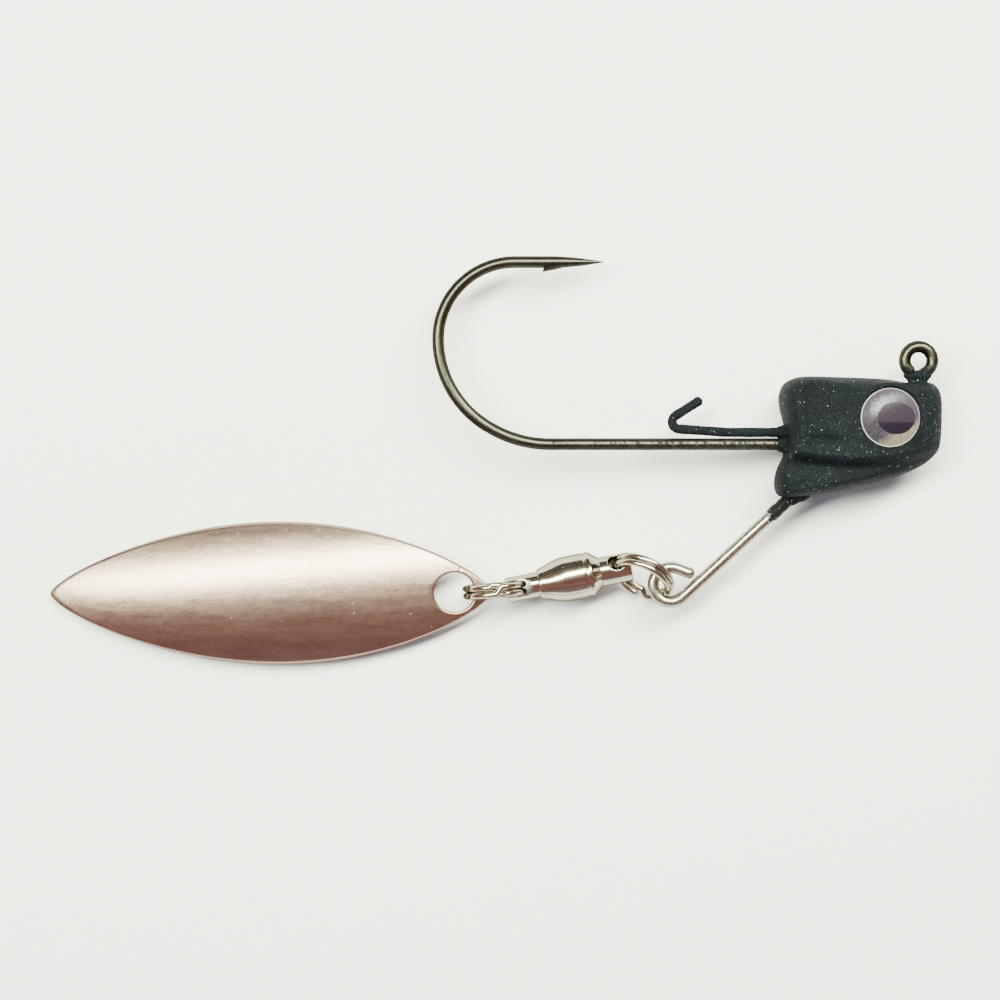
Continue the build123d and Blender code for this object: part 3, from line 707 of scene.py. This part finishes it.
class LURE_OT_hook(bpy.types.Operator):
    """Bend the hook from its line tie to its point, and lift its barb"""

    bl_idname = "lure.hook"
    bl_label = "Hook"

    def execute(self, context):
        radius = context.scene.lure_sizes.hook_wire / MM / 2
        point, barb_back, barb_front = 4.7, 0.24, 1.4
        line_tie, tie_start = 1.15, 254
        leg_and_shank = [arc(0.9, 60), (3.6, 0), arc(1.6, -90), (29.2, 0)]
        bend_and_spear = [arc(10.0, -35), arc(8.5, -55), arc(6.4, -90), (2.7 + point, 0)]
        runs = [arc(line_tie, -314)] + leg_and_shank + bend_and_spear
        total = sum(run[0] for run in runs)
        far = wire_stations(total, radius)
        close = np.linspace(total - point - 0.5, total - point + 1.5, 90)
        far = np.unique(np.concatenate((far, close)))
        start = line_tie * np.array((np.cos(np.radians(tie_start)), np.sin(np.radians(tie_start))))
        path = bent_path(start, tie_start - 90, runs, far)
        into_point = np.clip((far - (total - point)) / point, 0, 1)
        thick = np.where(far < radius, rounded(far, total, radius), radius)
        thick = thick * (1 - into_point ** 1.84) + 0.03 * into_point
        grid = round_wire(path, thick, (0, 0, 1), 32)
        # the barb is a sliver lifted on the side that faces the shank, and pushed back over its root
        from_root = far - (total - point)
        lift = np.clip((barb_front - from_root) / (barb_front + barb_back), 0, 1) * (from_root > -barb_back)
        below = (path[:, None, 1] - grid[:, :, 1]) / np.maximum(thick, 0.01)[:, None]
        towards_shank = np.clip(below, 0, 1) ** 5
        grid[:, :, 1] -= 0.34 * lift[:, None] * towards_shank
        grid[:, :, 0] -= 0.22 * lift[:, None] * towards_shank
        hook = surface("hook_wire", [grid], values=[far])
        settle(hook, hook_look(), "jig_body", "black_nickel_wire", "jig_hook")
        return {"FINISHED"}


class LURE_OT_keeper(bpy.types.Operator):
    """Bend the bait keeper beside the shank, with its coat of paint"""

    bl_idname = "lure.keeper"
    bl_label = "Bait keeper"

    def execute(self, context):
        sizes = context.scene.lure_sizes
        radius = sizes.keeper_wire / MM / 2
        runs = [arc(0.9, -55), (6.5, 0), arc(4.0, -4), (3.9, 0), arc(0.6, -143.6), (2.6, 0)]
        total = sum(run[0] for run in runs)
        far = wire_stations(total, radius)
        path = bent_path((-8.563, -5.612), 235, runs, far)
        lumps = 1 + 0.035 * np.sin(far * 4.1) * np.sin(far * 1.7 + 1)
        lumps = lumps + 0.05 * rise(far, total - 1.2, total - 0.3)
        grid = round_wire(path, rounded(far, total, radius) * lumps, (0, 0, 1))
        keeper = surface("keeper_wire", [grid], values=[far])
        settle(keeper, paint_look("keeper_paint_finish"), "jig_body", "painted_wire", "bait_keeper_wire")
        return {"FINISHED"}


class LURE_OT_arm(bpy.types.Operator):
    """Bend the spinner arm with its open loop, painted by the head"""

    bl_idname = "lure.arm"
    bl_label = "Spinner arm"

    def execute(self, context):
        sizes = context.scene.lure_sizes
        radius = sizes.arm_wire / MM / 2
        centre, _ = joint_place("ring_round_arm_loop")
        loop_radius, tail_length, tail_turn = 1.44, 1.6, 20.0
        loop = arc(loop_radius, 180 + tail_turn + ARM_ANGLE)
        runs = [(tail_length, 0), loop, (13.4, 0), arc(1.5, -ARM_ANGLE), (3.2, 0)]
        total = sum(run[0] for run in runs)
        far = wire_stations(total, radius)
        level, lift = np.cos(np.radians(tail_turn)), np.sin(np.radians(tail_turn))
        root = centre[:2] + loop_radius * np.array((lift, level))
        tail_end = root + tail_length * np.array((level, -lift))
        path = bent_path(tail_end, 180 - tail_turn, runs, far)
        coat = sizes.paint_coat / MM * rise(far + 0.35 * np.sin(far * 5.3), 17.2, 17.8)
        coat = coat * (1 + 0.35 * np.sin(far * 6.1) * np.sin(far * 2.3))
        thick = rounded(far, total, radius) + coat * (far < total - 1)
        arm = surface("arm_wire", [round_wire(path, thick, (0, 0, 1))], values=[far])
        settle(arm, arm_look(), "jig_body", "stainless_wire", "spinner_arm_wire")
        return {"FINISHED"}


# ---- eyes ----------------------------------------------------------------------------

def cap_profile(base, edge, top, radius, rows=26):
    """A shallow dome on a short rim: height falls from top to edge as the square of the radius."""
    out = np.linspace(0.02, 1, rows)
    crown = np.stack((top - (top - edge) * out ** 2, radius * out * 0.985), axis=-1)
    rim = np.array(((edge - 0.04, radius), (base + 0.03, radius), (base, radius * 0.97), (base, 0.05)))
    return np.concatenate((crown, rim))


class LURE_OT_eyes(bpy.types.Operator):
    """Set a foil and its clear dome in each side of the head"""

    bl_idname = "lure.eyes"
    bl_label = "Eyes"

    def execute(self, context):
        radius = context.scene.lure_sizes.eye_size / MM / 2
        foil_finish, resin_finish, glue_finish = foil_look(), resin_look(), glue_look()
        for side, name in ((1, "right"), (-1, "left")):
            foot = (EYE[0], EYE[1], 0)
            foil_profile = cap_profile(3.20, 3.34, 3.78, radius * 0.975)
            foil = surface(f"{name}_foil", [lathe(foot, (0, 0, side), foil_profile)])
            settle(foil, foil_finish, "jig_body", "eye_foil", f"{name}_eye_foil")
            dome_profile = cap_profile(3.22, 3.48, 3.995, radius, 40)
            dome = surface(f"{name}_dome", [lathe(foot, (0, 0, side), dome_profile)])
            settle(dome, resin_finish, "jig_body", "eye_dome_resin", f"{name}_eye_dome")
            paint_node(f"{name}_eye_adhesive", glue_finish)
        return {"FINISHED"}


# ---- split rings ---------------------------------------------------------------------

# degrees: how the front ring's axis leans, which way, and where on the ring the arm's loop is
FRONT_RING_TILT = 60.5
FRONT_RING_HEADING = -117.9
FRONT_RING_IN_LOOP = 20.5
LOOP_PLAY = (-0.084, -0.078, 0)


def ring_grid(centre, across, axis, step_at, wire, outer):
    """Two turns of round wire; between two angles the height over the middle plane steps up by one pitch."""
    mean_radius = (outer - wire) / 2
    half_pitch = wire / 2 + 0.02
    step_turn, end_gap = 15.0, 4.0
    sweep = 360 - step_turn - end_gap
    total = np.radians(2 * sweep + step_turn) * mean_radius
    far = wire_stations(total, wire / 2, 0.075)
    angle = step_turn + end_gap + np.degrees(far / mean_radius)
    height = half_pitch * (2 * rise(angle, 360, 360 + step_turn) - 1)
    turn = np.radians(step_at + angle)[:, None]
    side = np.cross(axis, across)
    outwards = np.cos(turn) * across + np.sin(turn) * side
    path = centre + mean_radius * outwards + height[:, None] * axis
    return round_wire(path, rounded(far, total, wire / 2), axis, 26), far


class LURE_OT_rings(bpy.types.Operator):
    """Coil the two split rings"""

    bl_idname = "lure.rings"
    bl_label = "Split rings"

    def execute(self, context):
        sizes = context.scene.lure_sizes
        nickel = plated_look("ring_nickel_finish", context.scene.lure_colours.nickel, 0.13, 0.30)
        front_axis = turned(turned((0, 0, 1), (0, 1, 0), FRONT_RING_TILT), (0, 0, 1), FRONT_RING_HEADING)
        front_across = unit(np.cross((0, 0, 1), front_axis))
        hole, hole_axis = joint_place("rear_ring_swing")
        pivot, _ = joint_place("blade_tilt")
        rear_across = unit(pivot - hole)
        rear_axis = unit(np.cross(hole_axis, rear_across))
        wire, outer = sizes.ring_wire / MM, sizes.ring_outer / MM
        mean_radius = (outer - wire) / 2
        front_middle = front_ring_middle(front_axis, front_across, mean_radius)
        rear_middle = pivot - rear_across * mean_radius
        rings = (
            ("front", front_middle, front_across, front_axis, 285),
            ("rear", rear_middle, rear_across, rear_axis, 255),
        )
        for end, centre, across, axis, step_at in rings:
            grid, far = ring_grid(centre, across, axis, step_at, wire, outer)
            ring = surface(f"{end}_ring", [grid], values=[far])
            settle(ring, nickel, f"{end}_ring_body", "ring_nickel", f"{end}_split_ring")
        return {"FINISHED"}


def front_ring_middle(axis, across, mean_radius):
    """The front ring's middle: the arm loop's middle, less its play and the ring's own radius."""
    loop, _ = joint_place("ring_round_arm_loop")
    return loop + LOOP_PLAY - turned(across, axis, FRONT_RING_IN_LOOP) * mean_radius


# ---- swivel --------------------------------------------------------------------------

EYE_BORE = 0.73                 # radius of the cross holes that the rings go through


def eyed_rod(hole, rod_axis, hole_axis, radius, bore, end, tail, rows=150, columns=128):
    """A round rod with a hole across it near its end, as one closed surface that goes round the hole.

    Columns go round the hole's axis. Rows go round a point in the wall beside the hole: from it, a ray
    meets the rod's round side (a quadratic), its two ends, or the hole's wall, and takes the nearest as
    a soft minimum, which rounds every edge: (sum of reach^-p)^(-1/p).
    """
    a = np.linspace(0, 2 * np.pi, columns, endpoint=False)[None, :]
    b = np.linspace(0, 2 * np.pi, rows, endpoint=False)[:, None]
    lengthwise, sideways = np.cos(a), np.sin(a)
    end_reach = np.where(lengthwise > 0, end, tail) / np.maximum(np.abs(lengthwise), 1e-3)
    side_reach = radius / np.maximum(np.abs(sideways), 1e-3)
    start = bore + 0.42 * (np.minimum(end_reach, side_reach) - bore)
    start = np.minimum(start, bore + 0.9)
    out, up = np.cos(b), np.sin(b)
    square = (out * sideways) ** 2 + up ** 2
    linear = start * out * sideways ** 2
    constant = (start * sideways) ** 2 - radius ** 2
    root = np.sqrt(np.maximum(linear ** 2 - square * constant, 1e-9))
    to_side = (root - linear) / np.maximum(square, 1e-9)
    to_end = np.where(out > 1e-3, (end_reach - start) / np.maximum(out, 1e-3), 1e3)
    to_hole = np.where(out < -1e-3, (start - bore) / np.maximum(-out, 1e-3), 1e3)
    power = 14
    reach = (to_side ** -power + to_end ** -power + to_hole ** -power) ** (-1 / power)
    rho, height = start + reach * out, reach * up
    side = np.cross(hole_axis, rod_axis)
    spread = (rho * lengthwise)[..., None] * rod_axis + (rho * sideways)[..., None] * side
    return hole + spread + height[..., None] * hole_axis


class LURE_OT_swivel(bpy.types.Operator):
    """Turn the ball-bearing swivel's barrel, and drill its plug and spindle"""

    bl_idname = "lure.swivel"
    bl_label = "Swivel"

    def execute(self, context):
        colours = context.scene.lure_colours
        nickel = plated_look("swivel_nickel_finish", colours.nickel, 0.11, 0.34)
        steel = plated_look("bearing_steel_finish", (0.50, 0.50, 0.50), 0.20, 0.2)
        plug_hole, plug_axis = joint_place("swivel_on_front_ring")
        spindle_hole, spindle_axis = joint_place("rear_ring_swing")
        line = joint_place("spindle_spin")[1]
        barrel_profile = eased((
            (-1.41, 1.00), (-1.40, 1.20), (-2.25, 1.89), (-2.55, 1.89), (-2.62, 1.84), (-2.74, 1.84),
            (-2.81, 1.89), (-4.30, 1.89), (-4.65, 1.88), (-5.35, 1.70), (-6.20, 1.40), (-6.55, 1.31),
            (-6.75, 1.24), (-6.76, 1.12),
        ), 0.10)
        barrel = surface("swivel_shell", [lathe(plug_hole, line, barrel_profile, 128)])
        settle(barrel, nickel, "swivel_body", "swivel_nickel", "swivel_barrel")
        plug_grid = eyed_rod(plug_hole, line, plug_axis, 1.22, EYE_BORE, 1.13, 1.62)
        plug = surface("swivel_eye_plug", [plug_grid], looped=True)
        settle(plug, nickel, "swivel_body", "swivel_nickel", "swivel_plug")
        spindle_grid = eyed_rod(spindle_hole, -line, spindle_axis, 1.05, EYE_BORE, 1.32, 1.75)
        spindle = surface("swivel_eye_spindle", [spindle_grid], looped=True)
        settle(spindle, nickel, "spindle_body", "swivel_nickel", "swivel_spindle")
        paint_node("swivel_race_washer", steel)
        for number in range(1, 9):
            paint_node(f"swivel_ball_{number}", steel)
        return {"FINISHED"}


# ---- blade ---------------------------------------------------------------------------

BLADE_HOLE_MIDDLE = joint_place("blade_tilt")[0] - (1.0, 0.0052, 0.56)
BLADE_SLOPE = 3.297
BLADE_HEADING = 0.3


def blade_grid(thickness):
    """The willow-leaf plate as one closed surface that goes round its hole.

    Half width = 5.96 * sin(pi * s^1.06)^0.645, where s is the share of the length from the tip. Columns are
    rays from the hole to that outline; rows go out over the top, round the rim, back underneath and round
    the hole's edge. The sheet bends on 14.2 mm across and on 100 mm along.
    """
    tip, end, hole, edge = -34.35, 3.05, 1.67, 0.19
    cross_bend, long_bend = 14.2, 100.0
    turn = np.linspace(0, 2 * np.pi, 400, endpoint=False)
    share = (1 - np.cos(turn)) / 2
    half_width = 5.96 * np.sin(np.pi * np.clip(share, 0, 1) ** 1.06) ** 0.645
    outline = np.stack((tip + share * (end - tip), np.sign(np.sin(turn)) * half_width), axis=-1)
    far = np.linalg.norm(outline, axis=1)
    outwards = outline / far[:, None]
    face = np.linspace(0, 1, 70)[:, None]
    rim = np.radians(np.linspace(90, -90, 9)[1:-1])[:, None]
    over = hole + edge + (far - hole - 2 * edge) * face
    outer = far - edge * (1 - np.cos(rim))
    inner = hole + edge * (1 - np.cos(rim)) + 0 * far
    radius = np.concatenate((over, outer, over[::-1], inner[::-1]))
    side = np.concatenate((np.ones_like(face), np.sin(rim), -np.ones_like(face), -np.sin(rim)))
    x, y = radius * outwards[:, 0], radius * outwards[:, 1]
    middle = tip / 2
    bulge = tip ** 2 / (8 * long_bend)
    dish = np.sqrt(cross_bend ** 2 - y ** 2) - cross_bend
    z = np.sqrt((long_bend + dish) ** 2 - (x - middle) ** 2) - long_bend + bulge
    lean_x, lean_y = -(x - middle) / long_bend, -y / cross_bend
    z = z + side * thickness / 2
    x, y = x - side * thickness / 2 * lean_x, y - side * thickness / 2 * lean_y * -1
    width_axis = turned((0, 1, 0), (0, 0, 1), BLADE_HEADING)
    along_axis = turned(turned((1, 0, 0), (0, 0, 1), BLADE_HEADING), width_axis, -BLADE_SLOPE)
    up_axis = np.cross(along_axis, width_axis)
    return BLADE_HOLE_MIDDLE + x[..., None] * along_axis + y[..., None] * width_axis + z[..., None] * up_axis


class LURE_OT_blade(bpy.types.Operator):
    """Stamp the willow-leaf blade"""

    bl_idname = "lure.blade"
    bl_label = "Blade"

    def execute(self, context):
        grid = blade_grid(context.scene.lure_sizes.blade_plate / MM)
        blade = surface("willow_blade", [grid], looped=True)
        settle(blade, blade_look(), "blade_body", "blade_plate", "blade")
        return {"FINISHED"}


# ---- the stage -----------------------------------------------------------------------

def soft_light(name, place, aim, size, power, tint, roll=0.0):
    """A large soft rectangular light, rolled by some degrees about the way that it points."""
    lamp = bpy.data.lights.new(name, "AREA")
    lamp.shape = "RECTANGLE"
    lamp.size, lamp.size_y = size
    lamp.energy = power
    lamp.color = tint
    light = bpy.data.objects.new(name, lamp)
    bpy.context.scene.collection.objects.link(light)
    heading = unit(np.array(aim) - np.array(place))
    level = turned(unit(np.cross(heading, (0, 0, 1))), heading, roll)
    lift = np.cross(level, heading)
    for row in range(3):
        for column, axis in enumerate((level, lift, -heading, place)):
            light.matrix_world[row][column] = axis[row]
    return light


class LURE_OT_stage(bpy.types.Operator):
    """Lay the floor, hang the lights and set the camera straight above"""

    bl_idname = "lure.stage"
    bl_label = "Stage"

    def execute(self, context):
        scene = context.scene
        lens = bpy.data.cameras.new("overhead_camera")
        lens.sensor_width = 36.0
        lens.lens = 86.4
        lens.clip_start = 0.005
        camera = bpy.data.objects.new("overhead_camera", lens)
        camera.location = (-0.03488, -0.01163, 0.200)
        scene.collection.objects.link(camera)
        scene.camera = camera

        material, work, shader = finish("floor_finish", {"Roughness": 0.75, "Specular IOR Level": 0.2})
        grain = work.noise(900.0, 3.0)
        work.feed(shader["Base Color"], work.shade(scene.lure_colours.floor, 0.985 + grain * 0.03))
        u, v = np.meshgrid(np.linspace(-1, 1, 41), np.linspace(-1, 1, 41))
        points = np.stack((u * 2.5, v * 2.5, 0 * u + TABLE - 0.00002), axis=-1).reshape(-1, 3)
        index = np.arange(41 * 41).reshape(41, 41)
        corners = (index[:-1, :-1], index[:-1, 1:], index[1:, 1:], index[1:, :-1])
        quads = np.stack(corners, axis=-1).reshape(-1, 4)
        mesh = bpy.data.meshes.new("floor")
        mesh.from_pydata(points.tolist(), [], quads.tolist())
        mesh.materials.append(material)
        floor = bpy.data.objects.new("floor", mesh)
        scene.collection.objects.link(floor)

        middle = np.array((-0.035, -0.012, 0.0))
        key_place, fill_place = middle + (0.0, 0.118, 0.300), middle + (0.0, -0.60, 0.10)
        soft_light("key_light", key_place, middle, (0.60, 0.085), 8.6, (0.90, 1.0, 0.72), -24.0)
        soft_light("fill_light", fill_place, middle + (0, 0, 0.05), (0.8, 0.10), 1.0, (0.96, 1.0, 1.0))

        world = bpy.data.worlds.new("studio")
        world.use_nodes = True
        work = Wiring(world.node_tree)
        _, y, _ = work.parts(work.add("ShaderNodeTexCoord", output="Generated"))
        walls = work.add("ShaderNodeValToRGB", {"stops": (
            (0.00, (0.50, 0.46, 0.43)), (0.18, (0.44, 0.205, 0.180)), (0.25, (0.66, 0.36, 0.31)),
            (0.32, (0.38, 0.165, 0.145)), (0.45, (0.38, 0.165, 0.145)), (0.50, (0.56, 0.29, 0.25)),
            (0.55, (0.37, 0.160, 0.140)), (0.76, (0.27, 0.185, 0.155)),
            (0.90, (0.17, 0.155, 0.135)),
        )}, {"Fac": y * 0.5 + 0.5})
        paths = work.add("ShaderNodeLightPath").socket.node
        glossy, seen = (Term(work, paths.outputs[name]) for name in ("Is Glossy Ray", "Is Camera Ray"))
        room = work.mix(glossy, (0.20, 0.20, 0.20), walls)
        sky = work.mix(seen, room, (1.0, 1.0, 1.0))
        back = work.add("ShaderNodeBackground", inputs={"Color": sky, "Strength": 1.0 + seen * 2.0})
        work.add("ShaderNodeOutputWorld", inputs={"Surface": back})
        scene.world = world
        return {"FINISHED"}


# ---- the add-on ----------------------------------------------------------------------

STEPS = (
    LURE_OT_stage, LURE_OT_head, LURE_OT_hook, LURE_OT_keeper, LURE_OT_arm, LURE_OT_eyes, LURE_OT_rings,
    LURE_OT_swivel, LURE_OT_blade,
)


class LURE_PT_steps(bpy.types.Panel):
    """The lure's pieces, in the order in which they are made"""

    bl_idname = "LURE_PT_steps"
    bl_label = "Underspin jig lure"
    bl_space_type = "VIEW_3D"
    bl_region_type = "UI"
    bl_category = "Lure"

    def draw(self, context):
        for step in STEPS:
            self.layout.operator(step.bl_idname)
        for group in (context.scene.lure_sizes, context.scene.lure_colours):
            box = self.layout.box()
            for name in group.bl_rna.properties.keys():
                if name not in ("rna_type", "name"):
                    box.prop(group, name)


CLASSES = (LureSizes, LureColours, *STEPS, LURE_PT_steps)


def register():
    for item in CLASSES:
        bpy.utils.register_class(item)
    bpy.types.Scene.lure_sizes = bpy.props.PointerProperty(type=LureSizes)
    bpy.types.Scene.lure_colours = bpy.props.PointerProperty(type=LureColours)


def unregister():
    del bpy.types.Scene.lure_colours
    del bpy.types.Scene.lure_sizes
    for item in reversed(CLASSES):
        bpy.utils.unregister_class(item)


def main():
    register()
    for step in STEPS:
        group, name = step.bl_idname.split(".")
        getattr(getattr(bpy.ops, group), name)()
    bpy.context.view_layer.update()


if __name__ == "__main__":
    main()
